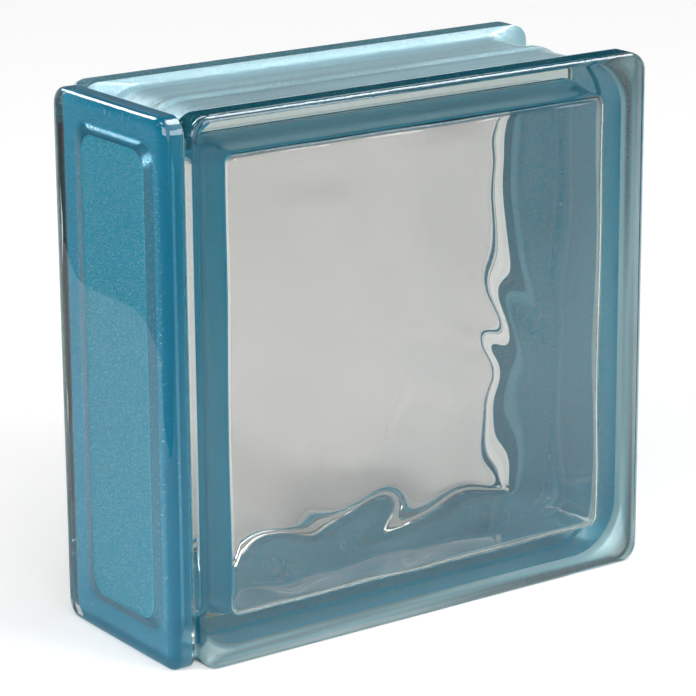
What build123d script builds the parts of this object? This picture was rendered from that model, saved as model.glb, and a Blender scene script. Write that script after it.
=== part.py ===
from build123d import *
import math
import os

# A hollow glass block with one finished end, standing upright.
# X runs along its width, with the finished end at -X; Y through its depth, with the front at -Y; Z is up.
# The origin is at the middle of the base. All sizes are in millimetres.

# The hollow block
block_width = 190.0
block_height = 190.0
block_depth = 80.0
face_corner_radius = 7.0
face_edge_radius = 2.2

# The mortar channel that runs round the block between its two faces
flange_thickness = 12.0
flange_inner_radius = 2.0
channel_slope_angle = 27.0
channel_depth = 3.0
waist_corner_radius = 19.0

# The bead where the two pressed halves are fused
bead_width = 6.5
bead_height = 1.0

# The sealed hollow inside, which widens from both panes to the seam
pane_thickness = 7.5
wall_at_pane = 15.5
wall_at_seam = 11.0
hollow_face_corner_radius = 4.0
hollow_seam_corner_radius = 9.0
seam_ridge_width = 4.0
seam_ridge_height = 1.0

# The cloud relief pressed into the inner side of both panes: crossed waves that lean and drift, with ripples
wave_height = 0.8
wave_length = 92.0
wave_lean = 35.0
cross_wave_length = 120.0
cross_wave_lean = 25.0
drift_height = 14.0
drift_length = 156.0
ripple_height = 0.25
ripple_length = 41.0
ripple_turn = 0.6
wave_grid_points = 19
wave_overlap = 12.0

# The coloured coating in the channel and behind the end panel
coating_thickness = 0.3

# The glass panel bonded over the left-hand side, as high as the block and set in from both its faces
panel_thickness = 8.5
panel_set_in = 3.5
panel_crown = 0.8
panel_corner_radius = 7.0
panel_outer_edge_radius = 2.5
panel_inner_edge_radius = 0.8

# The shallow tray in the hidden side of the end panel, with its rim and the run of its slopes
tray_side_rim = 10.5
tray_end_rim = 9.5
tray_side_slope = 7.5
tray_end_slope = 5.0
tray_corner_radius = 7.0
tray_sink = 2.5

# The rim of the end panel's hidden side that stays bare, at its long sides and at its ends
coating_side_rim = 4.5
coating_end_rim = 1.0
coating_corner_radius = 5.0

# Places worked out from the sizes above
half_depth = block_depth / 2
half_height = block_height / 2
overall_width = block_width + panel_thickness + coating_thickness
block_left = -overall_width / 2 + panel_thickness + coating_thickness
block_centre = block_left + block_width / 2
slope_start = half_depth - flange_thickness
slope_angle = math.radians(channel_slope_angle)
slope_top_drop = flange_inner_radius * (1 - math.cos(slope_angle))
slope_top = slope_start + flange_inner_radius * (1 - math.sin(slope_angle))
slope_foot = slope_top - (channel_depth - slope_top_drop) / math.tan(slope_angle)
pane_inside = half_depth - pane_thickness
relief_depth = wave_height + ripple_height
half_ridge = seam_ridge_width / 2
ridge_corner_radius = hollow_seam_corner_radius - seam_ridge_height
coating_slant = coating_thickness / math.sin(slope_angle)
coating_top = slope_top - coating_slant
coating_foot = slope_foot - coating_slant + coating_thickness / math.tan(slope_angle)
coating_bead = bead_width / 2 + coating_thickness
panel_inside = block_left - coating_thickness
panel_outside = panel_inside - panel_thickness
half_panel = block_depth / 2 - panel_set_in
tray_floor = panel_inside - tray_sink


def outline(offset, inset, radius):
    """The block's outline, drawn in by inset on all four sides, at offset in front of the block's middle."""
    with BuildSketch(Plane.XZ.offset(offset)) as drawn:
        with Locations((block_centre, half_height)):
            RectangleRounded(block_width - 2 * inset, block_height - 2 * inset, radius)
    return drawn.sketch


def panel_outline(x, side_inset, end_inset, radius):
    """The end panel's outline at the given x, drawn in from its sides and its ends."""
    with BuildSketch(Plane.YZ.offset(x)) as drawn:
        with Locations((0, half_height)):
            RectangleRounded(2 * (half_panel - side_inset), block_height - 2 * end_inset, radius)
    return drawn.sketch


def cloud_relief(x, z, side):
    """Height of the pressed clouds above a pane's inner side, at x and z from the block's middle."""
    lean = math.radians(wave_lean)
    cross_lean = math.radians(cross_wave_lean)
    drifted = x + drift_height * math.sin(2 * math.pi * z / drift_length + side)
    along = drifted * math.cos(lean) + z * math.sin(lean) * side
    across = z * math.cos(cross_lean) - drifted * math.sin(cross_lean) * side
    wave = math.sin(2 * math.pi * along / wave_length) * math.cos(2 * math.pi * across / cross_wave_length)
    ripple = math.sin(2 * math.pi * (along + ripple_turn * across) / ripple_length)
    return wave_height * wave + ripple_height * ripple


def relief_face(side):
    """The wavy inner surface of one pane, a little wider than the hollow; side is -1 in front, 1 behind."""
    half_width = block_width / 2 - wall_at_seam + wave_overlap
    half_rise = block_height / 2 - wall_at_seam + wave_overlap
    rows = []
    for i in range(wave_grid_points):
        x = half_width * (2 * i / (wave_grid_points - 1) - 1)
        row = []
        for k in range(wave_grid_points):
            z = half_rise * (2 * k / (wave_grid_points - 1) - 1)
            y = side * (pane_inside + cloud_relief(x, z, side))
            row.append(Vector(block_centre + x, y, half_height + z))
        rows.append(row)
    return Face.make_surface_from_array_of_points(rows)


# The hollow, cut to length by the two wavy surfaces
front_relief = relief_face(-1)
back_relief = relief_face(1)
with BuildPart() as hollow:
    loft(
        sections=[
            outline(pane_inside + 2 * relief_depth, wall_at_pane, hollow_face_corner_radius),
            outline(half_ridge, wall_at_seam, hollow_seam_corner_radius),
        ]
    )
    extrude(outline(half_ridge, wall_at_seam + seam_ridge_height, ridge_corner_radius), amount=-half_ridge)
    mirror(about=Plane.XZ)
    split(bisect_by=front_relief, keep=Keep.BOTTOM)
    split(bisect_by=back_relief, keep=Keep.TOP)

# The block itself: two faces, the channel between them and the fused bead, as one hollow piece of glass
with BuildPart() as glass_block:
    extrude(outline(half_depth, 0, face_corner_radius), amount=-flange_thickness)
    fillet(glass_block.edges().group_by(Axis.Y)[0], face_edge_radius)
    fillet(glass_block.edges().group_by(Axis.Y)[-1], flange_inner_radius)
    loft(
        sections=[
            outline(slope_top, slope_top_drop, face_corner_radius),
            outline(slope_foot, channel_depth, waist_corner_radius),
        ]
    )
    extrude(outline(slope_foot, channel_depth, waist_corner_radius), amount=-slope_foot)
    bead = outline(bead_width / 2, channel_depth - bead_height, waist_corner_radius + bead_height)
    extrude(bead, amount=-bead_width / 2)
    mirror(about=Plane.XZ)
    add(hollow.part, mode=Mode.SUBTRACT)

# The coating lines the channel from one face's shoulder to the other's
coated_depth = channel_depth - coating_thickness
coated_radius = waist_corner_radius + coating_thickness
with BuildPart() as side_coating:
    loft(
        sections=[
            outline(coating_top, slope_top_drop, face_corner_radius),
            outline(coating_foot, coated_depth, coated_radius),
        ]
    )
    extrude(outline(coating_foot, coated_depth, coated_radius), amount=-coating_foot)
    coated_bead = outline(coating_bead, coated_depth - bead_height, coated_radius + bead_height)
    extrude(coated_bead, amount=-coating_bead)
    mirror(about=Plane.XZ)
    add(glass_block.part, mode=Mode.SUBTRACT)
    add(hollow.part, mode=Mode.SUBTRACT)

# The end panel: a pressed glass plate, slightly crowned outside, with a shallow tray in its hidden side
with BuildPart() as end_panel:
    with BuildSketch(Plane.XY) as panel_plan:
        with BuildLine() as plan_line:
            crown_start = panel_outside + panel_crown
            Line((crown_start, half_panel), (panel_inside, half_panel))
            Line((panel_inside, half_panel), (panel_inside, -half_panel))
            Line((panel_inside, -half_panel), (crown_start, -half_panel))
            ThreePointArc((crown_start, -half_panel), (panel_outside, 0), (crown_start, half_panel))
        make_face()
    extrude(amount=block_height)
    fillet(end_panel.edges().filter_by(Axis.X), panel_corner_radius)
    fillet(end_panel.faces().sort_by(Axis.X)[0].edges(), panel_outer_edge_radius)
    fillet(end_panel.faces().sort_by(Axis.X)[-1].edges(), panel_inner_edge_radius)
    loft(
        sections=[
            panel_outline(panel_inside, tray_side_rim, tray_end_rim, tray_corner_radius),
            panel_outline(
                tray_floor,
                tray_side_rim + tray_side_slope,
                tray_end_rim + tray_end_slope,
                tray_corner_radius,
            ),
        ],
        mode=Mode.SUBTRACT,
    )

# The coating behind the end panel follows the tray and takes up the gap to the block's faces
with BuildPart() as panel_coating:
    coated_rim = panel_outline(block_left, coating_side_rim, coating_end_rim, coating_corner_radius)
    extrude(coated_rim, amount=-coating_thickness)
    loft(
        sections=[
            panel_outline(panel_inside, tray_side_rim, tray_end_rim, tray_corner_radius),
            panel_outline(
                tray_floor,
                tray_side_rim + tray_side_slope,
                tray_end_rim + tray_end_slope,
                tray_corner_radius,
            ),
        ]
    )
    loft(
        sections=[
            panel_outline(
                block_left,
                tray_side_rim + coating_thickness,
                tray_end_rim + coating_thickness,
                tray_corner_radius,
            ),
            panel_outline(
                tray_floor + coating_thickness,
                tray_side_rim + tray_side_slope + coating_thickness,
                tray_end_rim + tray_end_slope + coating_thickness,
                tray_corner_radius,
            ),
        ],
        mode=Mode.SUBTRACT,
    )

glass_block.part.label = "glass_block"
end_panel.part.label = "end_panel"
side_coating.part.label = "side_coating"
panel_coating.part.label = "panel_coating"

os.makedirs("parts", exist_ok=True)
export_step(glass_block.part, "parts/glass_block.step")
export_step(end_panel.part, "parts/end_panel.step")
export_step(side_coating.part, "parts/side_coating.step")
export_step(panel_coating.part, "parts/panel_coating.step")

for piece in (glass_block, end_panel, side_coating, panel_coating):
    print(piece.part.label, round(piece.part.volume), len(piece.part.solids()), piece.part.is_valid)
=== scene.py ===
import math

import bmesh
import bpy
from mathutils import Matrix, Vector


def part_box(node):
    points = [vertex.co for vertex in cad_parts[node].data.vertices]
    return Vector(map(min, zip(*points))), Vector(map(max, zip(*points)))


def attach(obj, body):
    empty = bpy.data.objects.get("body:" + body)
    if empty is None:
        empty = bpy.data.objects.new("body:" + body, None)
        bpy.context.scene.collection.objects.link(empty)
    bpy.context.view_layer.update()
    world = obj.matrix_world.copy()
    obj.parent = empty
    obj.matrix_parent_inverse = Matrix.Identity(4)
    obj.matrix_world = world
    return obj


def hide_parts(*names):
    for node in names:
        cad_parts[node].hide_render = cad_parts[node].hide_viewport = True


bl_info = {
    "name": "Glass Block with a Finished End",
    "version": (1, 0, 0),
    "blender": (4, 5, 0),
    "location": "View3D > Sidebar > Glass Block",
    "description": "Builds a hollow glass block with coated edges and a glass end panel, and its studio stage",
    "category": "Add Mesh",
}

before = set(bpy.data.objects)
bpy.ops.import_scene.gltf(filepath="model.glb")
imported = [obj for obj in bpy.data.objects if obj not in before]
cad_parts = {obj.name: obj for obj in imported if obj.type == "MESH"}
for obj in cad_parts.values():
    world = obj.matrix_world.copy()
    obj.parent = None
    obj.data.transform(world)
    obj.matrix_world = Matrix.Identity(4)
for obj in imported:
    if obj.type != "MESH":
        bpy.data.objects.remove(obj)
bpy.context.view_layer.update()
BLOCK_LOW, BLOCK_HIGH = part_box("glass_block")
PANEL_LOW, PANEL_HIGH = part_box("end_panel")
BLOCK_CENTRE = (BLOCK_LOW + BLOCK_HIGH) / 2
BLOCK_SIZE = BLOCK_HIGH - BLOCK_LOW
PANEL_SIZE = PANEL_HIGH - PANEL_LOW

# Edges that turn by more than this stay sharp
SHARP_ANGLE = math.radians(50)
# Vertices nearer to a cut than this count as on it
CUT_DISTANCE = 1e-7


def length(name, description, default):
    """A length property in metres."""
    return bpy.props.FloatProperty(
        name=name, description=description, default=default, unit="LENGTH", precision=5
    )


def angle(name, description, degrees):
    """An angle property, given in degrees."""
    return bpy.props.FloatProperty(
        name=name, description=description, default=math.radians(degrees), subtype="ANGLE"
    )


def colour(name, description, default):
    """A linear colour property."""
    return bpy.props.FloatVectorProperty(
        name=name, description=description, default=default, subtype="COLOR", size=3, min=0.0, max=1.0
    )


class BlockSizes(bpy.types.PropertyGroup):
    """Sizes of the hollow block's outer form."""

    corner_radius: length("Corner Radius", "Radius of the four corners of each face", 0.007)
    edge_radius: length("Edge Radius", "Rounding of each face's outer edge", 0.0022)
    flange: length("Flange", "Thickness of each flange at the face", 0.012)
    shoulder_radius: length("Shoulder Radius", "Rounding where a flange turns into the channel", 0.002)
    slope_angle: angle("Slope Angle", "Fall of the channel's sides from the flanges", 27)
    channel_depth: length("Channel Depth", "Depth of the mortar channel", 0.003)
    waist_radius: length("Waist Radius", "Corner radius of the channel's floor", 0.019)
    foot_radius: length("Foot Radius", "Rounding where the slope meets the channel's floor", 0.0100)
    bead_width: length("Bead Width", "Width of the fused bead round the middle", 0.0065)
    bead_height: length("Bead Height", "Height of the fused bead", 0.001)
    film_room: length("Film Room", "How far the glass stays inside the coated surface", 0.00005)


class HollowSizes(bpy.types.PropertyGroup):
    """Sizes of the sealed hollow and of the clouds pressed into its two panes."""

    pane: length("Pane", "Thickness of each pane", 0.0075)
    wall_at_pane: length("Wall at Pane", "Thickness of the side wall next to a pane", 0.0155)
    wall_at_seam: length("Wall at Seam", "Thickness of the side wall at the middle", 0.011)
    corner_at_pane: length("Corner at Pane", "Corner radius of the hollow next to a pane", 0.004)
    corner_at_seam: length("Corner at Seam", "Corner radius of the hollow at the middle", 0.009)
    root_radius: length("Root Radius", "Rounding between a pane and the side walls", 0.0025)
    ridge_width: length("Ridge Width", "Width of the ridge of glass inside the seam", 0.004)
    ridge_height: length("Ridge Height", "Height of the ridge of glass inside the seam", 0.001)
    wave_height: length("Wave Height", "Height of the crossed waves", 0.0008)
    wave_length: length("Wave Length", "Length of the waves", 0.092)
    cross_wave_length: length("Cross Wave Length", "Length of the waves that cross them", 0.120)
    drift_height: length("Drift", "Sideways drift of the waves", 0.014)
    drift_length: length("Drift Length", "Length over which the waves drift", 0.156)
    ripple_height: length("Ripple Height", "Height of the ripples", 0.00025)
    ripple_length: length("Ripple Length", "Length of the ripples", 0.041)
    top_rise: length("Top Rise", "How much higher the hollow reaches at the top of each pane", 0.0010)
    fold_height: length("Fold Height", "Height of the few close folds among the clouds", 0.0006)
    fold_length: length("Fold Length", "Length of the folds", 0.022)
    fold_reach: length("Fold Reach", "Reach of each group of folds", 0.014)
    cuts: bpy.props.IntProperty(
        name="Cuts", description="Cuts across each pane that carry its clouds", default=110, min=10, max=200
    )


class PanelSizes(bpy.types.PropertyGroup):
    """Sizes of the glass end panel and its hidden tray."""

    corner_radius: length("Corner Radius", "Radius of the panel's corners", 0.007)
    outer_edge_radius: length("Outer Edge Radius", "Fall of the rounded outer edge", 0.0025)
    outer_side_run: length("Outer Side Run", "Width of the rounding along the long sides", 0.005)
    outer_end_run: length("Outer End Run", "Width of the rounding at the ends", 0.004)
    inner_edge_radius: length("Inner Edge Radius", "Rounding of the edge at the block", 0.0008)
    crown: length("Crown", "Rise of the outer side at its middle", 0.0008)
    tray_side_rim: length("Tray Side Rim", "Flat rim beside the tray", 0.0105)
    tray_end_rim: length("Tray End Rim", "Flat rim above and below the tray", 0.0095)
    tray_side_slope: length("Tray Side Slope", "Run of the tray's long slopes", 0.0075)
    tray_end_slope: length("Tray End Slope", "Run of the tray's end slopes", 0.005)
    tray_corner: length("Tray Corner", "Corner radius of the tray", 0.007)
    tray_depth: length("Tray Depth", "Depth of the tray", 0.0025)


class CoatingSizes(bpy.types.PropertyGroup):
    """Sizes of the coloured coating."""

    thickness: length("Thickness", "Thickness of the film", 0.0003)
    sunk: length("Sunk", "How far the film is bedded into the glass, so that no air lies between them", 0.00005)
    spray_start: length("Spray Start", "Clear band between a face and the spray on its flange", 0.0048)
    # The films on top are painted shade and reflection, not spray
    top_shade_start: length("Top Spray Start", "The same clear band on top of the block", 0.0026)
    side_rim: length("Side Rim", "Bare rim along the long sides of the panel's hidden side", 0.0045)
    end_rim: length("End Rim", "Bare rim at the ends of the panel's hidden side", 0.001)
    corner_radius: length("Corner Radius", "Corner radius of the film behind the panel", 0.005)


class GlassLook(bpy.types.PropertyGroup):
    """Colours of the two glasses."""

    block_tint: colour("Block Tint", "Colour that the block's smooth surfaces leave", (0.96, 0.965, 0.96))
    # Partly the panes' own tint, partly painted shade for the darker view through them
    pane_tint_and_shade: colour("Pane Tint", "Colour that the pressed clouds leave", (0.585, 0.560, 0.542))
    panel_tint: colour("Panel Tint", "Colour that a crossing of the end panel leaves", (0.94, 0.955, 0.95))
    depth_colour: colour("Depth Colour", "Colour of long ways through the glass", (0.73, 0.79, 0.78))
    depth_density: bpy.props.FloatProperty(
        name="Depth Density", description="Strength of the depth colour per metre", default=30.0, min=0.0
    )


class CoatingLook(bpy.types.PropertyGroup):
    """Colours of the coating."""

    behind_panel: colour("Behind Panel", "Coating seen through the end panel", (0.002, 0.31, 0.50))
    # A darker copy of the coating on the tray's slopes: painted shade
    on_slope: colour("On Slope", "Coating on the slopes of the panel's tray", (0.001, 0.21, 0.34))
    # A paler copy of the coating on the tray's floor: painted sheen of the lighter room it faces
    in_tray: colour("In Tray", "Coating on the floor of the panel's tray", (0.033, 0.385, 0.55))
    under_block: colour("Under Block", "Coating seen through the block", (0.02, 0.68, 1.0))
    # Paler than the same coating seen through the glass: partly pearl pigment, partly painted sheen of the white
    # room
    outside: colour("Outside", "Coating seen in the open channel", (0.27, 0.50, 0.58))
    # Its pale colour is partly the fine spray and partly a painted reflection of the light room in the clear land
    spray: colour("Spray", "Fine spray on the front flange", (0.80, 0.96, 1.0))
    # The two top films are painted shade and dark reflection on clear glass lands
    front_top: colour("Front Top Shade", "Fine spray on top of the front flange", (0.008, 0.070, 0.100))
    back_top: colour("Back Top Shade", "Fine spray on top of the back flange", (0.07, 0.18, 0.22))
    # A lighter, streaked copy of the coating where the front slope nears the bottom and the right: painted light
    # and glitter
    under_slope: colour("Lit Under Slope", "Coating on the front slope, seen through the block", (0.60, 0.92, 1.0))
    flake: colour("Flake", "Light flakes in the coating", (0.78, 0.88, 0.90))


class StageLook(bpy.types.PropertyGroup):
    """Camera, floor and light."""

    eye: bpy.props.FloatVectorProperty(
        name="Eye", description="Place of the camera", default=(-0.6093, -0.8653, 0.3983), subtype="TRANSLATION"
    )
    azimuth: angle("Azimuth", "Turn of the view to the right", 35.05)
    elevation: angle("Elevation", "Fall of the view", 16.29)
    roll: angle("Roll", "Roll of the camera", -0.39)
    lens: bpy.props.FloatProperty(name="Lens", description="Focal length", default=161.4, unit="CAMERA")
    floor_size: length("Floor Size", "Side of the floor", 6.0)
    floor_left: length("Floor Left", "Place of the floor's left-hand edge", -0.33)
    # The floor's colour darkens towards the front between these two lines: a painted pool of light
    painted_pool_front: length("Pale Front", "Where the floor starts to darken towards the front", -0.20)
    painted_pool_dark_front: length("Dark Front", "Where the floor is darkest", -0.55)
    floor_colour: colour("Floor Colour", "Colour of the floor", (0.86, 0.86, 0.86))


# Mesh tools


def add_ring(bm, place, width, height, radius, segments, keep_face=False):
    """Adds a rounded rectangle laid out by place, with a face where that is kept, and returns its edges."""
    size = Matrix.Diagonal((width, height, 1.0, 1.0))
    grid = bmesh.ops.create_grid(bm, x_segments=1, y_segments=1, size=0.5, matrix=place @ size)
    corners = grid["verts"]
    made = bmesh.ops.bevel(
        bm,
        geom=corners,
        offset=radius,
        offset_type="OFFSET",
        segments=segments,
        profile=0.5,
        affect="VERTICES",
        material=-1,
    )
    face = next(f for f in bm.faces if f.is_valid and set(made["verts"]) <= set(f.verts))
    edges = list(face.edges)
    if not keep_face:
        bmesh.ops.delete(bm, geom=[face], context="FACES_ONLY")
    return edges


def across_depth(offset, centre):
    """Places a ring square to the depth, offset in front of the block's middle."""
    turn = Matrix(((1, 0, 0, 0), (0, 0, -1, 0), (0, 1, 0, 0), (0, 0, 0, 1)))
    return Matrix.Translation((centre.x, centre.y - offset, centre.z)) @ turn


def across_width(x, centre):
    """Places a ring square to the width, at the given x."""
    turn = Matrix(((0, 0, 1, 0), (1, 0, 0, 0), (0, 1, 0, 0), (0, 0, 0, 1)))
    return Matrix.Translation((x, centre.y, centre.z)) @ turn


def join_rings(bm, rings):
    """Bridges each ring of edges to the next one and returns the new faces."""
    faces = []
    for first, second in zip(rings, rings[1:]):
        faces += bmesh.ops.bridge_loops(bm, edges=first + second)["faces"]
    return faces


def mark_sharp(bm):
    """Shades the mesh smooth, apart from its sharp edges."""
    for face in bm.faces:
        face.smooth = True
    for edge in bm.edges:
        if len(edge.link_faces) == 2:
            edge.smooth = edge.calc_face_angle(0.0) < SHARP_ANGLE


def weigh_normals(obj):
    """Lets the broad faces keep their true normals beside narrow roundings."""
    weigh = obj.modifiers.new("Weighted Normals", "WEIGHTED_NORMAL")
    weigh.mode = "FACE_AREA"
    weigh.weight = 50
    weigh.keep_sharp = True


def finish_piece(name, bm, materials, replaced):
    """Turns a bmesh into a piece of the part."""
    mesh = bpy.data.meshes.new(name)
    bm.to_mesh(mesh)
    bm.free()
    obj = bpy.data.objects.new(name, mesh)
    bpy.context.scene.collection.objects.link(obj)
    for material in materials:
        mesh.materials.append(material)
    weigh_normals(obj)
    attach(obj, "root")
    if replaced:
        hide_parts(*replaced)
    return obj


# Profiles of the block


def shoulder_and_slope(sizes, out):
    """(inset, offset, corner radius) from the flange's land down to the channel's floor, moved out by a film."""
    half_depth = BLOCK_SIZE.y / 2
    start = half_depth - sizes.flange
    radius = sizes.shoulder_radius
    alpha = sizes.slope_angle
    top_drop = radius * (1 - math.cos(alpha))
    top = start + radius * (1 - math.sin(alpha))
    foot = top - (sizes.channel_depth - top_drop) / math.tan(alpha)
    rows = []
    for i in range(5):
        turn = alpha * i / 4
        inset = radius * (1 - math.cos(turn))
        offset = start + radius * (1 - math.sin(turn)) - out * math.sin(turn)
        rows.append((max(inset - out * math.cos(turn), 0.0), offset, sizes.corner_radius - inset))
    tangent = sizes.foot_radius * math.tan(alpha / 2)
    for i in range(9):
        turn = alpha * (1 - i / 8)
        inset = sizes.channel_depth - sizes.foot_radius * (1 - math.cos(turn))
        offset = foot - tangent + sizes.foot_radius * math.sin(turn)
        rows.append((inset - out * math.cos(turn), offset - out * math.sin(turn), sizes.waist_radius + out))
    return rows


# Half of the bead's foot as a part of its width, and the power that rounds its top
BEAD_SPREAD = 0.62
BEAD_POWER = 0.8


def bead_rows(sizes, out):
    """The rest of the profile, from the channel's floor over half of the bead."""
    half = BEAD_SPREAD * sizes.bead_width
    rows = []
    for i in range(9):
        along = i / 8
        rise = sizes.bead_height * (0.5 - 0.5 * math.cos(math.pi * along)) ** BEAD_POWER
        offset = (half + out) * (1 - along)
        rows.append((sizes.channel_depth - rise - out, offset, sizes.waist_radius + rise + out))
    return rows


def both_halves(rows):
    """A profile from the front to the middle, followed by its mirror image to the back."""
    back = [(inset, -offset, radius) for inset, offset, radius in reversed(rows)]
    return rows + (back[1:] if abs(rows[-1][1]) < 1e-9 else back)


def ring_at(bm, row, segments=16, keep_face=False):
    """Adds the block's outline for one row of a profile."""
    inset, offset, radius = row
    width = BLOCK_SIZE.x - 2 * inset
    height = BLOCK_SIZE.z - 2 * inset
    return add_ring(bm, across_depth(offset, BLOCK_CENTRE), width, height, radius, segments, keep_face)


def stack_rings(bm, rows, segments=16, closed=True):
    """Joins the rings of a profile, with a flat face at both ends where it is closed; returns rings and faces."""
    rings = []
    for i, row in enumerate(rows):
        ends = closed and i in (0, len(rows) - 1)
        rings.append(ring_at(bm, row, segments, ends))
    return rings, join_rings(bm, rings)


# The clouds

WAVE_LEAN = math.radians(35)
CROSS_WAVE_LEAN = math.radians(25)
RIPPLE_TURN = 0.6
# The folds of the back pane are turned inside out and half as high
BACK_FOLDS = -0.5
# Middle across and up, turn, reach and strength of each group of folds
FOLDS = (
    (0.018, -0.004, 1.2, 1.0, 1.5),
    (0.043, 0.004, 0.7, 1.0, -1.1),
    (-0.020, -0.074, 1.9, 1.3, 1.0),
    (0.030, -0.070, 1.3, 1.2, -0.9),
    (-0.060, -0.060, 0.9, 1.2, 0.9),
    (-0.045, 0.072, 1.5, 1.2, 0.8),
    (0.012, 0.076, 1.7, 1.1, -0.7),
)


def cloud_relief(sizes, x, z, side):
    """Height of the pressed clouds above the plane of a pane's inner side, at x and z from the block's middle."""
    drifted = x + sizes.drift_height * math.sin(2 * math.pi * z / sizes.drift_length + side)
    along = drifted * math.cos(WAVE_LEAN) + z * math.sin(WAVE_LEAN) * side
    across = z * math.cos(CROSS_WAVE_LEAN) - drifted * math.sin(CROSS_WAVE_LEAN) * side
    wave = math.sin(2 * math.pi * along / sizes.wave_length)
    wave *= math.cos(2 * math.pi * across / sizes.cross_wave_length)
    ripple = math.sin(2 * math.pi * (along + RIPPLE_TURN * across) / sizes.ripple_length)
    fold = 0.0
    for place_x, place_z, turn, reach, strength in FOLDS:
        x_away, z_away = x - place_x, z - place_z
        lengthwise = x_away * math.cos(turn) + z_away * math.sin(turn)
        share = math.exp(-(x_away * x_away + z_away * z_away) / (reach * sizes.fold_reach) ** 2)
        fold += strength * share * math.sin(2 * math.pi * lengthwise / sizes.fold_length)
    if side > 0:
        fold = BACK_FOLDS * fold
    return sizes.wave_height * wave + sizes.ripple_height * ripple + sizes.fold_height * fold


# The smallest corner radius where the hollow rounds into a pane
LEAST_RADIUS = 0.0012


def hollow_rows(sizes):
    """The hollow's profile from the front pane to the seam."""
    inside = BLOCK_SIZE.y / 2 - sizes.pane
    seam = sizes.ridge_width / 2

    def wall(offset):
        share = (offset - seam) / (inside - seam)
        inset = sizes.wall_at_seam + (sizes.wall_at_pane - sizes.wall_at_seam) * share
        radius = sizes.corner_at_seam + (sizes.corner_at_pane - sizes.corner_at_seam) * share
        return inset, radius

    rows = []
    for i in range(7):
        turn = math.pi / 2 * i / 6
        offset = inside - sizes.root_radius * (1 - math.cos(turn))
        inset, radius = wall(offset)
        step = sizes.root_radius * (1 - math.sin(turn))
        rows.append((inset + step, offset, max(radius - step, LEAST_RADIUS)))
    for i in range(1, 9):
        offset = inside - sizes.root_radius + (seam - inside + sizes.root_radius) * i / 8
        inset, radius = wall(offset)
        rows.append((inset, offset, radius))
    for i in range(1, 5):
        share = i / 4
        rise = sizes.ridge_height * math.sin(math.pi / 2 * share)
        rows.append((sizes.wall_at_seam + rise, seam * (1 - share), sizes.corner_at_seam - rise))
    return rows


def cut_panes(bm, sizes):
    """Cuts the hollow's mesh into a fine net across its panes."""
    half_width = BLOCK_SIZE.x / 2 - sizes.wall_at_seam
    half_height = BLOCK_SIZE.z / 2 - sizes.wall_at_seam
    for i in range(1, sizes.cuts):
        share = 2 * i / sizes.cuts - 1
        for normal, half in (((1, 0, 0), half_width), ((0, 0, 1), half_height)):
            middle = Vector((BLOCK_CENTRE.x, 0, BLOCK_CENTRE.z)) + Vector(normal) * half * share
            everything = bm.verts[:] + bm.edges[:] + bm.faces[:]
            bmesh.ops.bisect_plane(bm, geom=everything, dist=CUT_DISTANCE, plane_co=middle, plane_no=normal)


# How far from a pane the walls follow its clouds, and how far below the top the rise begins
CLOUD_FADE = 0.014
RISE_REACH = 0.03


def press_clouds(bm, sizes):
    """Moves both panes' inner sides by the cloud relief, and lets the walls follow near them."""
    inside = BLOCK_SIZE.y / 2 - sizes.pane
    for vert in bm.verts:
        depth = abs(vert.co.y)
        if depth > inside - CLOUD_FADE:
            side = 1 if vert.co.y > 0 else -1
            share = min(1.0, (depth - (inside - CLOUD_FADE)) / (CLOUD_FADE - sizes.root_radius))
            relief = cloud_relief(sizes, vert.co.x - BLOCK_CENTRE.x, vert.co.z - BLOCK_CENTRE.z, side)
            vert.co.y += side * relief * share * share * (3 - 2 * share)
            to_top = BLOCK_SIZE.z / 2 - sizes.wall_at_pane - (vert.co.z - BLOCK_CENTRE.z)
            vert.co.z += sizes.top_rise * share * min(1.0, max(0.0, 1 - to_top / RISE_REACH))


# Materials


def new_material(name):
    """An empty node material with its output; returns the material and its nodes and links."""
    material = bpy.data.materials.new(name)
    material.use_nodes = True
    nodes, links = material.node_tree.nodes, material.node_tree.links
    nodes.clear()
    output = nodes.new("ShaderNodeOutputMaterial")
    output.location = (900, 0)
    return material, nodes, links, output


def add_math(nodes, links, operation, *values):
    """One step of arithmetic on numbers and sockets; returns its result."""
    step = nodes.new("ShaderNodeMath")
    step.operation = operation
    for socket, value in zip(step.inputs, values):
        if isinstance(value, bpy.types.NodeSocket):
            links.new(value, socket)
        else:
            socket.default_value = value
    return step.outputs[0]


# Middle and reach of the depth at which the panes' inner sides lie, and how squarely they face along it
PANE_DEPTH = 0.0325
PANE_REACH = 0.0035
PANE_FACING = 0.8


def pane_mask(nodes, links):
    """Marks the pressed inner sides of both panes."""
    place = nodes.new("ShaderNodeTexCoord")
    parts = nodes.new("ShaderNodeSeparateXYZ")
    links.new(place.outputs["Object"], parts.inputs[0])
    depth = add_math(nodes, links, "ABSOLUTE", parts.outputs["Y"])
    near = add_math(nodes, links, "COMPARE", depth, PANE_DEPTH, PANE_REACH)
    facing = nodes.new("ShaderNodeNewGeometry")
    turned = nodes.new("ShaderNodeSeparateXYZ")
    links.new(facing.outputs["Normal"], turned.inputs[0])
    across = add_math(nodes, links, "ABSOLUTE", turned.outputs["Y"])
    flat = add_math(nodes, links, "GREATER_THAN", across, PANE_FACING)
    return add_math(nodes, links, "MULTIPLY", near, flat)


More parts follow.
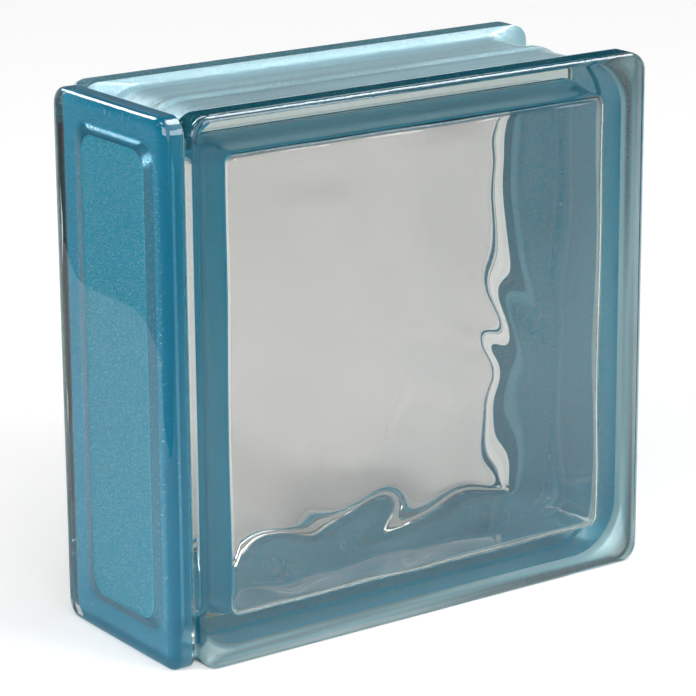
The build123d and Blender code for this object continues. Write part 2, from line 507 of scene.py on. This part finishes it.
def make_glass(name, tint, look, pane_tint_and_shade=None):
    """Clear glass with a faint colour in its depth, and a deeper one on its pressed panes, partly tint and partly
    painted shade.
    """
    material, nodes, links, output = new_material(name)
    shader = nodes.new("ShaderNodeBsdfPrincipled")
    shader.inputs["Base Color"].default_value = (*tint, 1.0)
    shader.inputs["Roughness"].default_value = 0.0
    shader.inputs["IOR"].default_value = 1.51
    shader.inputs["Transmission Weight"].default_value = 1.0
    # The panes' deeper colour is partly tint and partly painted shade
    if pane_tint_and_shade:
        mix = nodes.new("ShaderNodeMix")
        mix.data_type = "RGBA"
        place = nodes.new("ShaderNodeTexCoord")
        clouds = nodes.new("ShaderNodeTexNoise")
        clouds.inputs["Scale"].default_value = 16.0
        clouds.inputs["Detail"].default_value = 1.0
        links.new(place.outputs["Object"], clouds.inputs["Vector"])
        soft = nodes.new("ShaderNodeMapRange")
        soft.inputs["From Min"].default_value = 0.35
        soft.inputs["From Max"].default_value = 0.65
        soft.inputs["To Min"].default_value = 0.86
        links.new(clouds.outputs["Fac"], soft.inputs["Value"])
        share = add_math(nodes, links, "MULTIPLY", pane_mask(nodes, links), soft.outputs[0])
        links.new(share, mix.inputs["Factor"])
        mix.inputs["A"].default_value = (*tint, 1.0)
        mix.inputs["B"].default_value = (*pane_tint_and_shade, 1.0)
        links.new(mix.outputs["Result"], shader.inputs["Base Color"])
    links.new(shader.outputs["BSDF"], output.inputs["Surface"])
    depth = nodes.new("ShaderNodeVolumeAbsorption")
    depth.inputs["Color"].default_value = (*look.depth_colour, 1.0)
    depth.inputs["Density"].default_value = look.depth_density
    links.new(depth.outputs["Volume"], output.inputs["Volume"])
    return material


def flake_group():
    """Pearl flakes: cells of random tone with a few bright ones, and a slightly uneven surface."""
    group = bpy.data.node_groups.new("Pearl Flakes", "ShaderNodeTree")
    face = group.interface
    face.new_socket("Base", in_out="INPUT", socket_type="NodeSocketColor")
    face.new_socket("Flake", in_out="INPUT", socket_type="NodeSocketColor")
    for name, default in (
        ("Flake Size", 0.00013),
        ("Flake Share", 0.08),
        ("Cloud", 0.12),
        ("Flake Tilt", 0.3),
        ("Streak", 0.0),
    ):
        socket = face.new_socket(name, in_out="INPUT", socket_type="NodeSocketFloat")
        socket.default_value = default
    face.new_socket("Color", in_out="OUTPUT", socket_type="NodeSocketColor")
    face.new_socket("Flakes", in_out="OUTPUT", socket_type="NodeSocketFloat")
    face.new_socket("Normal", in_out="OUTPUT", socket_type="NodeSocketVector")
    nodes, links = group.nodes, group.links
    given = nodes.new("NodeGroupInput")
    result = nodes.new("NodeGroupOutput")
    place = nodes.new("ShaderNodeTexCoord")
    scale = add_math(nodes, links, "DIVIDE", 1.0, given.outputs["Flake Size"])
    cells = nodes.new("ShaderNodeTexVoronoi")
    links.new(place.outputs["Object"], cells.inputs["Vector"])
    links.new(scale, cells.inputs["Scale"])
    tone = nodes.new("ShaderNodeSeparateColor")
    links.new(cells.outputs["Color"], tone.inputs["Color"])
    rare = add_math(nodes, links, "LESS_THAN", tone.outputs["Red"], given.outputs["Flake Share"])
    cloud = nodes.new("ShaderNodeTexNoise")
    cloud.inputs["Scale"].default_value = 28.0
    cloud.inputs["Detail"].default_value = 3.0
    links.new(place.outputs["Object"], cloud.inputs["Vector"])
    centred = add_math(nodes, links, "SUBTRACT", cloud.outputs["Fac"], 0.5)
    swing = add_math(nodes, links, "MULTIPLY_ADD", centred, given.outputs["Cloud"], 1.0)
    drawn = nodes.new("ShaderNodeMapping")
    drawn.inputs["Scale"].default_value = (7.0, 170.0, 7.0)
    links.new(place.outputs["Object"], drawn.inputs["Vector"])
    streaks = nodes.new("ShaderNodeTexNoise")
    streaks.inputs["Scale"].default_value = 1.0
    streaks.inputs["Detail"].default_value = 1.0
    links.new(drawn.outputs["Vector"], streaks.inputs["Vector"])
    uneven = add_math(nodes, links, "SUBTRACT", streaks.outputs["Fac"], 0.5)
    drag = add_math(nodes, links, "MULTIPLY_ADD", uneven, given.outputs["Streak"], swing)
    shaded = nodes.new("ShaderNodeVectorMath")
    shaded.operation = "SCALE"
    links.new(given.outputs["Base"], shaded.inputs[0])
    links.new(drag, shaded.inputs["Scale"])
    mix = nodes.new("ShaderNodeMix")
    mix.data_type = "RGBA"
    links.new(rare, mix.inputs["Factor"])
    links.new(shaded.outputs[0], mix.inputs["A"])
    links.new(given.outputs["Flake"], mix.inputs["B"])
    tilt = nodes.new("ShaderNodeVectorMath")
    tilt.operation = "SUBTRACT"
    tilt.inputs[1].default_value = (0.5, 0.5, 0.5)
    links.new(cells.outputs["Color"], tilt.inputs[0])
    tilted = nodes.new("ShaderNodeVectorMath")
    tilted.operation = "SCALE"
    links.new(tilt.outputs[0], tilted.inputs[0])
    links.new(given.outputs["Flake Tilt"], tilted.inputs["Scale"])
    facing = nodes.new("ShaderNodeNewGeometry")
    bent = nodes.new("ShaderNodeVectorMath")
    links.new(facing.outputs["Normal"], bent.inputs[0])
    links.new(tilted.outputs[0], bent.inputs[1])
    unit = nodes.new("ShaderNodeVectorMath")
    unit.operation = "NORMALIZE"
    links.new(bent.outputs[0], unit.inputs[0])
    links.new(mix.outputs["Result"], result.inputs["Color"])
    links.new(rare, result.inputs["Flakes"])
    links.new(unit.outputs[0], result.inputs["Normal"])
    return group


def make_coating(name, group, base, flake, share, roughness, metallic, tilt, gloss, streak):
    """Pearlescent coating: a coloured ground with light metallic flakes."""
    material, nodes, links, output = new_material(name)
    shader = nodes.new("ShaderNodeBsdfPrincipled")
    flakes = nodes.new("ShaderNodeGroup")
    flakes.node_tree = group
    flakes.inputs["Base"].default_value = (*base, 1.0)
    flakes.inputs["Flake"].default_value = (*flake, 1.0)
    flakes.inputs["Flake Share"].default_value = share
    flakes.inputs["Flake Tilt"].default_value = tilt
    flakes.inputs["Streak"].default_value = streak
    shader.inputs["Roughness"].default_value = roughness
    shader.inputs["Specular IOR Level"].default_value = 0.5 if gloss else 0.0
    shader.inputs["Coat Weight"].default_value = gloss
    shader.inputs["Coat Roughness"].default_value = 0.10
    ground = add_math(nodes, links, "MAXIMUM", flakes.outputs["Flakes"], metallic)
    links.new(ground, shader.inputs["Metallic"])
    links.new(flakes.outputs["Color"], shader.inputs["Base Color"])
    links.new(flakes.outputs["Normal"], shader.inputs["Normal"])
    links.new(shader.outputs["BSDF"], output.inputs["Surface"])
    return material


# Base colour, share of flakes, roughness, metallic part, tilt of the flakes, gloss and streaks of each face
COATINGS = {
    "Coating Behind Panel": ("behind_panel", 0.02, 0.25, 0.40, 0.06, 0.4, 0.0),
    # The darker copy on the tray's slopes is painted shade
    "Coating Shaded on Slope": ("on_slope", 0.01, 0.20, 0.35, 0.05, 0.8, 0.0),
    # The paler copy on the tray's floor is painted sheen
    "Coating Sheen in Tray": ("in_tray", 0.06, 0.35, 0.20, 0.15, 0.0, 0.0),
    "Coating Under Block": ("under_block", 0.10, 0.35, 0.25, 0.35, 0.3, 0.0),
    # The lighter, streaked copy is painted light and glitter
    "Coating Lit Under Slope": ("under_slope", 0.35, 0.30, 0.10, 0.60, 0.3, 4.5),
    # The channel's pale colour is partly pearl pigment and partly painted sheen
    "Coating Outside": ("outside", 0.14, 0.32, 0.10, 0.50, 0.6, 1.2),
    # Partly spray, partly painted reflection
    "Coating Front Spray and Reflection": ("spray", 0.30, 0.40, 0.0, 0.8, 0.0, 4.5),
    # The top films are painted shade and reflection
    "Coating Front Top Shade": ("front_top", 0.01, 0.60, 0.0, 0.2, 0.0, 0.0),
    "Coating Back Top Shade": ("back_top", 0.03, 0.60, 0.0, 0.2, 0.0, 0.0),
}


def coating_material(name):
    """One face of the coating; all of them share the flakes."""
    made = bpy.data.materials.get(name)
    if made:
        return made
    look = bpy.context.scene.coating_look
    base, *values = COATINGS[name]
    group = bpy.data.node_groups.get("Pearl Flakes") or flake_group()
    return make_coating(name, group, getattr(look, base), look.flake, *values)


# Pieces


class GLASSBLOCK_OT_block(bpy.types.Operator):
    """Build the hollow pressed-glass block"""

    bl_idname = "glass_block.block"
    bl_label = "Hollow Block"

    def execute(self, context):
        sizes = context.scene.block_sizes
        hollow = context.scene.hollow_sizes
        half_depth = BLOCK_SIZE.y / 2
        edge = sizes.edge_radius
        rows = []
        for i in range(9):
            turn = math.pi / 2 * i / 8
            inset = edge * (1 - math.sin(turn))
            offset = half_depth - edge * (1 - math.cos(turn))
            rows.append((inset + sizes.film_room, offset, sizes.corner_radius - inset))
        slope = shoulder_and_slope(sizes, 0.0)
        slope[0] = (sizes.film_room, slope[0][1], slope[0][2])
        rows += slope + bead_rows(sizes, 0.0)
        bm = bmesh.new()
        stack_rings(bm, both_halves(rows))
        bmesh.ops.recalc_face_normals(bm, faces=bm.faces)
        inner = bmesh.new()
        stack_rings(inner, both_halves(hollow_rows(hollow)), segments=8)
        cut_panes(inner, hollow)
        press_clouds(inner, hollow)
        bmesh.ops.recalc_face_normals(inner, faces=inner.faces)
        bmesh.ops.reverse_faces(inner, faces=inner.faces)
        held = bpy.data.meshes.new("Hollow")
        inner.to_mesh(held)
        inner.free()
        bm.from_mesh(held)
        bpy.data.meshes.remove(held)
        mark_sharp(bm)
        look = context.scene.glass_look
        glass = make_glass("Block Glass", look.block_tint, look, look.pane_tint_and_shade)
        finish_piece("hollow_block", bm, [glass], ["glass_block"])
        return {"FINISHED"}


# The coating's lighter copy, with painted light, lies in front of this depth, and this near to the bottom or the
# right-hand side
FRONT_SLOPE = -0.0215
LIT_COPY_EDGE = 0.02


class GLASSBLOCK_OT_side_coating(bpy.types.Operator):
    """Lay the coating in the channel, from one flange over the bead to the other"""

    bl_idname = "glass_block.side_coating"
    bl_label = "Channel Coating"

    def execute(self, context):
        sizes = context.scene.block_sizes
        film = context.scene.coating_sizes
        bm = bmesh.new()
        outer = both_halves(shoulder_and_slope(sizes, film.thickness)[2:] + bead_rows(sizes, film.thickness))
        inner = both_halves(shoulder_and_slope(sizes, -film.sunk)[2:] + bead_rows(sizes, -film.sunk))
        outer_rings = stack_rings(bm, outer, closed=False)[0]
        inner_rings, hidden = stack_rings(bm, inner, closed=False)
        # Near the bottom and the right-hand side the front slope takes the lighter copy with painted light
        for face in hidden:
            middle = face.calc_center_median()
            painted_lit = middle.z < LIT_COPY_EDGE or middle.x > BLOCK_HIGH.x - LIT_COPY_EDGE
            face.material_index = 2 if middle.y < FRONT_SLOPE and painted_lit else 1
        join_rings(bm, [outer_rings[0], inner_rings[0]])
        join_rings(bm, [outer_rings[-1], inner_rings[-1]])
        bmesh.ops.recalc_face_normals(bm, faces=bm.faces)
        mark_sharp(bm)
        finishes = [coating_material("Coating " + name) for name in ("Outside", "Under Block", "Lit Under Slope")]
        finish_piece("channel_coating", bm, finishes, ["side_coating"])
        return {"FINISHED"}


def panel_ring(bm, x, side_inset, end_inset, radius, segments=12, keep_face=False):
    """Adds the end panel's outline at the given x, drawn in from its sides and its ends."""
    centre = Vector((0, BLOCK_CENTRE.y, BLOCK_CENTRE.z))
    width = PANEL_SIZE.y - 2 * side_inset
    height = PANEL_SIZE.z - 2 * end_inset
    return add_ring(bm, across_width(x, centre), width, height, radius, segments, keep_face)


TRAY_STEPS = 16
# Part of the tray's slope that turns at its mouth and at its floor
TRAY_TURN = 0.26
# How much of the spacing of its rings is drawn together at both ends, and how much is even
TRAY_EASED = 0.7
TRAY_EVEN = 0.3


def tray_rings(bm, sizes, near, far, grow):
    """Adds the rings of the tray's slope, from its mouth at x near to its floor at x far."""
    rings = []
    turn = TRAY_TURN
    for i in range(TRAY_STEPS + 1):
        eased = 0.5 - 0.5 * math.cos(math.pi * i / TRAY_STEPS)
        share = eased * TRAY_EASED + TRAY_EVEN * i / TRAY_STEPS
        to_end = min(share, 1 - share)
        drop = to_end * to_end / (2 * turn) if to_end < turn else to_end - turn / 2
        sunk = (drop if share < 0.5 else 1 - turn - drop) / (1 - turn)
        side = sizes.tray_side_rim + sizes.tray_side_slope * share + grow
        end = sizes.tray_end_rim + sizes.tray_end_slope * share + grow
        x = near + (far - near) * sunk
        rings.append(panel_ring(bm, x, side, end, sizes.tray_corner, keep_face=i == TRAY_STEPS))
    return rings


class GLASSBLOCK_OT_spray(bpy.types.Operator):
    """Lay the fine spray of coating on the right-hand and bottom lands of both flanges, and a thin film of
    painted shade and reflection on their top lands
    """

    bl_idname = "glass_block.spray"
    bl_label = "Flange Spray"

    def execute(self, context):
        film = context.scene.coating_sizes
        for name, side, start, on_top, finish in (
            # The front flange's film is partly spray and partly painted reflection
            ("front_flange_spray", 1, film.spray_start, False, "Coating Front Spray and Reflection"),
            ("back_flange_spray", -1, film.spray_start, False, "Coating Under Block"),
            # The two top films are painted shade and reflection
            ("front_top_shade_film", 1, film.top_shade_start, True, "Coating Front Top Shade"),
            ("back_top_shade_film", -1, film.top_shade_start, True, "Coating Back Top Shade"),
        ):
            bm = self.land_film(context.scene.block_sizes, film, side, BLOCK_SIZE.y / 2 - start)
            radius = context.scene.block_sizes.corner_radius
            left = Vector((BLOCK_LOW.x + radius, 0, BLOCK_HIGH.z - radius))
            right = Vector((BLOCK_HIGH.x - radius, 0, BLOCK_HIGH.z - radius))
            if on_top:
                self.keep_beyond(bm, left, (0, 0, 1))
                self.keep_beyond(bm, right, (-1, 0, 1))
            else:
                self.keep_beyond(bm, left, (1, 0, 0))
                self.keep_beyond(bm, right, (1, 0, -1))
            bmesh.ops.recalc_face_normals(bm, faces=bm.faces)
            mark_sharp(bm)
            finish_piece(name, bm, [coating_material(finish)], [])
        return {"FINISHED"}

    def keep_beyond(self, bm, place, direction):
        """Cuts a closed mesh by a plane, keeps what lies in the direction and closes the cut."""
        everything = bm.verts[:] + bm.edges[:] + bm.faces[:]
        bmesh.ops.bisect_plane(
            bm, geom=everything, dist=CUT_DISTANCE, plane_co=place, plane_no=direction, clear_inner=True
        )
        bmesh.ops.holes_fill(bm, edges=[edge for edge in bm.edges if edge.is_boundary], sides=0)

    def land_film(self, sizes, film, side, start):
        """A thin film round the land of one flange, bedded into its glass."""
        bm = bmesh.new()
        outer = [(0.0, side * start, sizes.corner_radius)]
        inner = [(sizes.film_room + film.sunk, side * (start - film.thickness), sizes.corner_radius)]
        for inset, offset, radius in shoulder_and_slope(sizes, 0.0)[:4]:
            outer.append((inset, side * offset, radius))
        for inset, offset, radius in shoulder_and_slope(sizes, -film.sunk)[:4]:
            inner.append((inset + sizes.film_room, side * offset, radius))
        outer_rings = stack_rings(bm, outer, closed=False)[0]
        inner_rings = stack_rings(bm, inner, closed=False)[0]
        join_rings(bm, [outer_rings[0], inner_rings[0]])
        join_rings(bm, [outer_rings[-1], inner_rings[-1]])
        return bm


CROWN_CUTS = 32
# The power by which the crown falls to the panel's long sides
CROWN_POWER = 6
# Slack in telling the rings of the panel's outer side from the rest
RING_SLACK = 1e-6


class GLASSBLOCK_OT_end_panel(bpy.types.Operator):
    """Build the clear glass plate over the finished end"""

    bl_idname = "glass_block.end_panel"
    bl_label = "End Panel"

    def execute(self, context):
        sizes = context.scene.panel_sizes
        bm = bmesh.new()
        near, far = PANEL_HIGH.x, PANEL_LOW.x
        base = far + sizes.crown
        edge = sizes.outer_edge_radius
        inner_edge = sizes.inner_edge_radius
        rings = []
        for i in range(9):
            turn = math.pi / 2 * i / 8
            share = 1 - math.sin(turn)
            x = base + edge * (1 - math.cos(turn))
            side, end = sizes.outer_side_run * share, sizes.outer_end_run * share
            rings.append(panel_ring(bm, x, side, end, sizes.corner_radius - end, keep_face=i == 0))
        for i in range(5):
            turn = math.pi / 2 * i / 4
            inset = inner_edge * (1 - math.cos(turn))
            x = near - inner_edge * (1 - math.sin(turn))
            rings.append(panel_ring(bm, x, inset, inset, sizes.corner_radius - inset))
        rings += tray_rings(bm, sizes, near, near - sizes.tray_depth, 0.0)
        join_rings(bm, rings)
        half = PANEL_SIZE.y / 2
        for i in range(1, CROWN_CUTS):
            middle = (0, -half + PANEL_SIZE.y * i / CROWN_CUTS, 0)
            outer = [f for f in bm.faces if all(v.co.x < base + edge + RING_SLACK for v in f.verts)]
            geom = outer + list({e for f in outer for e in f.edges})
            geom += list({v for f in outer for v in f.verts})
            bmesh.ops.bisect_plane(bm, geom=geom, dist=CUT_DISTANCE, plane_co=middle, plane_no=(0, 1, 0))
        for vert in bm.verts:
            if vert.co.x < base + edge - RING_SLACK:
                reach = 1 - (vert.co.x - base) / edge
                vert.co.x -= reach * sizes.crown * max(0.0, 1 - (vert.co.y / half) ** CROWN_POWER)
        bmesh.ops.recalc_face_normals(bm, faces=bm.faces)
        mark_sharp(bm)
        glass = make_glass("Panel Glass", context.scene.glass_look.panel_tint, context.scene.glass_look)
        finish_piece("glass_end_panel", bm, [glass], ["end_panel"])
        return {"FINISHED"}


# How far from the tray's floor and mouth a face of the coating still counts as part of them
LEVEL_SLACK = 0.0003


class GLASSBLOCK_OT_panel_coating(bpy.types.Operator):
    """Lay the coating behind the end panel, in its tray and over the seam"""

    bl_idname = "glass_block.panel_coating"
    bl_label = "Panel Coating"

    def execute(self, context):
        sizes = context.scene.panel_sizes
        film = context.scene.coating_sizes
        bm = bmesh.new()
        near = PANEL_HIGH.x
        film_rim = (film.side_rim, film.end_rim, film.corner_radius)
        floor = near - sizes.tray_depth - film.sunk
        front = [panel_ring(bm, near - film.sunk, *film_rim)]
        front += tray_rings(bm, sizes, near - film.sunk, floor, 0.0)
        join_rings(bm, front)
        for face in bm.faces:
            # The tray's floor takes the paler copy, which is painted sheen
            if all(vert.co.x < floor + LEVEL_SLACK for vert in face.verts):
                face.material_index = 1
            # The tray's slopes take the darker copy, which is painted shade
            elif all(vert.co.x < near - film.sunk - LEVEL_SLACK for vert in face.verts):
                face.material_index = 2
        back = [panel_ring(bm, near + film.thickness, *film_rim)]
        floor = near - sizes.tray_depth + film.thickness
        back += tray_rings(bm, sizes, near + film.thickness, floor, film.thickness)
        join_rings(bm, back)
        join_rings(bm, [front[0], back[0]])
        bmesh.ops.recalc_face_normals(bm, faces=bm.faces)
        mark_sharp(bm)
        finishes = [coating_material("Coating " + name) for name in ("Behind Panel", "Sheen in Tray", "Shaded on Slope")]
        finish_piece("panel_back_coating", bm, finishes, ["panel_coating"])
        return {"FINISHED"}


# Direction of each soft box in the room, where its edge starts and ends, and its strength
SOFT_BOXES = (
    ((0.20, -0.42, 0.88), 0.84, 0.90, 2.0),
    ((-0.60, -0.72, 0.35), 0.80, 0.90, 2.3),
)
# The same of the bright spots that show in gloss and glass alone
GLINTS = (
    ((0.551, 0.00, 0.833), 0.950, 0.980, 16.0),
    ((-0.60, 0.10, 0.80), 0.985, 0.992, 10.0),
    ((-0.15, 0.79, 0.59), 0.980, 0.992, 16.0),
)
# Direction of each zone of the room, where its edge starts and ends, and its strength outside and inside
BACKDROP = ((0.574, 0.819, 0.0), 0.55, 0.75, 0.0, 1.0)
LOW = ((0.0, 0.0, 1.0), 0.06, 0.20, 1.0, 0.12)
ROOM = ((0.0, 0.0, 1.0), -0.1, 0.2, 0.30, 0.10)
# Place, size and power of each lamp, and the point they are aimed at
LAMPS = {
    "Left Soft Box": ((-1.7, -0.35, 0.75), 0.9, 18.0),
    "Front Soft Box": ((0.7, -1.6, 0.9), 0.8, 16.0),
}
LAMP_AIM = (0, 0, 0.1)
# Share of its colour that the floor keeps where its painted pool of light is darkest, and how much less its pale
# part glows
POOL_DARK_SHARE = 0.25
POOL_GLOW_LOSS = -0.68


class GLASSBLOCK_OT_stage(bpy.types.Operator):
    """Set the camera, the floor, the light and the background"""

    bl_idname = "glass_block.stage"
    bl_label = "Studio Stage"

    def execute(self, context):
        look = context.scene.stage_look
        self.add_camera(context, look)
        self.add_floor(context, look)
        self.add_world(context)
        self.add_lamps(context)
        context.scene.view_settings.view_transform = "Standard"
        cycles = context.scene.cycles
        cycles.max_bounces = 32
        cycles.transmission_bounces = 28
        cycles.glossy_bounces = 12
        cycles.diffuse_bounces = 4
        cycles.transparent_max_bounces = 16
        cycles.sample_clamp_indirect = 6.0
        cycles.blur_glossy = 0.5
        cycles.caustics_reflective = True
        cycles.caustics_refractive = True
        cycles.use_denoising = True
        return {"FINISHED"}

    def add_camera(self, context, look):
        """A long lens at the photograph's viewing angle."""
        data = bpy.data.cameras.new("Camera")
        data.sensor_width = 36.0
        data.lens = look.lens
        data.clip_start = 0.05
        data.clip_end = 50.0
        camera = bpy.data.objects.new("Camera", data)
        context.scene.collection.objects.link(camera)
        flat = math.cos(look.elevation)
        forward = Vector(
            (math.sin(look.azimuth) * flat, math.cos(look.azimuth) * flat, -math.sin(look.elevation))
        )
        right = forward.cross(Vector((0, 0, 1))).normalized()
        up = right.cross(forward)
        rolled_right = right * math.cos(look.roll) + up * math.sin(look.roll)
        rolled_up = up * math.cos(look.roll) - right * math.sin(look.roll)
        turn = Matrix((rolled_right, rolled_up, -forward)).transposed()
        camera.matrix_world = Matrix.Translation(look.eye) @ turn.to_4x4()
        context.scene.camera = camera

    def add_floor(self, context, look):
        """A broad pale floor that keeps the block's soft shadow, with a painted pool of light that darkens
        towards the front, and a glow that camera and glass rays alone see, so that they find it evenly white.
        """
        bm = bmesh.new()
        place = Matrix.Translation((look.floor_left + look.floor_size / 2, 0, 0))
        bmesh.ops.create_grid(bm, x_segments=1, y_segments=1, size=look.floor_size / 2, matrix=place)
        mesh = bpy.data.meshes.new("floor")
        bm.to_mesh(mesh)
        bm.free()
        floor = bpy.data.objects.new("floor", mesh)
        context.scene.collection.objects.link(floor)
        material, nodes, links, output = new_material("Pale Floor")
        shader = nodes.new("ShaderNodeBsdfPrincipled")
        place = nodes.new("ShaderNodeTexCoord")
        parts = nodes.new("ShaderNodeSeparateXYZ")
        links.new(place.outputs["Object"], parts.inputs[0])
        # Painted pool of light: the floor's colour falls from pale near the block to dark towards the front
        pale = nodes.new("ShaderNodeMapRange")
        pale.interpolation_type = "SMOOTHSTEP"
        pale.inputs["From Min"].default_value = look.painted_pool_dark_front
        pale.inputs["From Max"].default_value = look.painted_pool_front
        pale.inputs["To Min"].default_value = POOL_DARK_SHARE
        links.new(parts.outputs["Y"], pale.inputs["Value"])
        colour = nodes.new("ShaderNodeVectorMath")
        colour.operation = "SCALE"
        colour.inputs[0].default_value = look.floor_colour
        links.new(pale.outputs[0], colour.inputs["Scale"])
        links.new(colour.outputs[0], shader.inputs["Base Color"])
        shader.inputs["Roughness"].default_value = 0.9
        shader.inputs["Specular IOR Level"].default_value = 0.0
        shader.inputs["Emission Color"].default_value = (1.0, 1.0, 1.0, 1.0)
        path = nodes.new("ShaderNodeLightPath")
        white = add_math(nodes, links, "MULTIPLY_ADD", pale.outputs[0], POOL_GLOW_LOSS, 1.0)
        rays = path.outputs["Is Camera Ray"], path.outputs["Is Transmission Ray"]
        clear = add_math(nodes, links, "MAXIMUM", *rays)
        seen = add_math(nodes, links, "MULTIPLY", white, clear)
        links.new(seen, shader.inputs["Emission Strength"])
        links.new(shader.outputs["BSDF"], output.inputs["Surface"])
        mesh.materials.append(material)

    def add_world(self, context):
        """A dim room with soft boxes and bright spots, white to the camera and in part to gloss and glass."""
        world = bpy.data.worlds.new("World")
        context.scene.world = world
        world.use_nodes = True
        nodes, links = world.node_tree.nodes, world.node_tree.links
        nodes.clear()
        output = nodes.new("ShaderNodeOutputWorld")
        shade = nodes.new("ShaderNodeBackground")
        links.new(shade.outputs["Background"], output.inputs["Surface"])
        place = nodes.new("ShaderNodeTexCoord")
        low = self.zone(nodes, links, place, *LOW)
        backdrop = add_math(nodes, links, "MULTIPLY", self.zone(nodes, links, place, *BACKDROP), low)
        lit = add_math(nodes, links, "MAXIMUM", backdrop, self.zone(nodes, links, place, *ROOM))
        for towards, start, end, strength in SOFT_BOXES:
            box = self.zone(nodes, links, place, towards, start, end, 0.0, strength)
            lit = add_math(nodes, links, "ADD", lit, box)
        path = nodes.new("ShaderNodeLightPath")
        camera, gloss = path.outputs["Is Camera Ray"], path.outputs["Is Glossy Ray"]
        glass = path.outputs["Is Transmission Ray"]
        shiny = add_math(nodes, links, "MAXIMUM", gloss, glass)
        for towards, start, end, strength in GLINTS:
            spot = self.zone(nodes, links, place, towards, start, end, 0.0, strength)
            spot = add_math(nodes, links, "MULTIPLY", spot, shiny)
            lit = add_math(nodes, links, "ADD", lit, spot)
        wide = add_math(nodes, links, "MULTIPLY", low, glass)
        clear = add_math(nodes, links, "MULTIPLY", gloss, backdrop)
        clear = add_math(nodes, links, "MAXIMUM", clear, wide)
        clear = add_math(nodes, links, "MAXIMUM", clear, camera)
        seen = nodes.new("ShaderNodeMix")
        seen.data_type = "FLOAT"
        links.new(clear, seen.inputs["Factor"])
        links.new(lit, seen.inputs["A"])
        seen.inputs["B"].default_value = 1.0
        links.new(seen.outputs["Result"], shade.inputs["Strength"])

    def zone(self, nodes, links, place, towards, start, end, low, high):
        """Brightness that changes from low to high as a direction turns towards the given one."""
        turn = nodes.new("ShaderNodeVectorMath")
        turn.operation = "DOT_PRODUCT"
        turn.inputs[1].default_value = Vector(towards).normalized()
        links.new(place.outputs["Generated"], turn.inputs[0])
        ramp = nodes.new("ShaderNodeMapRange")
        ramp.interpolation_type = "SMOOTHSTEP"
        ramp.inputs["From Min"].default_value = start
        ramp.inputs["From Max"].default_value = end
        ramp.inputs["To Min"].default_value = low
        ramp.inputs["To Max"].default_value = high
        links.new(turn.outputs["Value"], ramp.inputs["Value"])
        return ramp.outputs[0]

    def add_lamps(self, context):
        """Two square lamps aimed at the block."""
        for name, (place, size, power) in LAMPS.items():
            data = bpy.data.lights.new(name, "AREA")
            data.shape = "SQUARE"
            data.size = size
            data.energy = power
            lamp = bpy.data.objects.new(name, data)
            context.scene.collection.objects.link(lamp)
            aim = (Vector(LAMP_AIM) - Vector(place)).normalized()
            turn = aim.to_track_quat("-Z", "Y").to_matrix().to_4x4()
            lamp.matrix_world = Matrix.Translation(place) @ turn


class GLASSBLOCK_PT_panel(bpy.types.Panel):
    """Lists the buttons that build the pieces and the stage"""

    bl_idname = "GLASSBLOCK_PT_panel"
    bl_label = "Glass Block"
    bl_space_type = "VIEW_3D"
    bl_region_type = "UI"
    bl_category = "Glass Block"

    def draw(self, context):
        for operator in OPERATORS:
            self.layout.operator(operator.bl_idname)


GROUPS = {
    "block_sizes": BlockSizes,
    "hollow_sizes": HollowSizes,
    "panel_sizes": PanelSizes,
    "coating_sizes": CoatingSizes,
    "glass_look": GlassLook,
    "coating_look": CoatingLook,
    "stage_look": StageLook,
}
OPERATORS = (
    GLASSBLOCK_OT_block,
    GLASSBLOCK_OT_side_coating,
    GLASSBLOCK_OT_spray,
    GLASSBLOCK_OT_end_panel,
    GLASSBLOCK_OT_panel_coating,
    GLASSBLOCK_OT_stage,
)


def register():
    for group in GROUPS.values():
        bpy.utils.register_class(group)
    for operator in OPERATORS:
        bpy.utils.register_class(operator)
    bpy.utils.register_class(GLASSBLOCK_PT_panel)
    for name, group in GROUPS.items():
        setattr(bpy.types.Scene, name, bpy.props.PointerProperty(type=group))


def unregister():
    for name in GROUPS:
        delattr(bpy.types.Scene, name)
    bpy.utils.unregister_class(GLASSBLOCK_PT_panel)
    for operator in reversed(OPERATORS):
        bpy.utils.unregister_class(operator)
    for group in reversed(tuple(GROUPS.values())):
        bpy.utils.unregister_class(group)


def main():
    register()
    bpy.ops.glass_block.block()
    bpy.ops.glass_block.side_coating()
    bpy.ops.glass_block.spray()
    bpy.ops.glass_block.end_panel()
    bpy.ops.glass_block.panel_coating()
    bpy.ops.glass_block.stage()


if __name__ == "__main__":
    main()
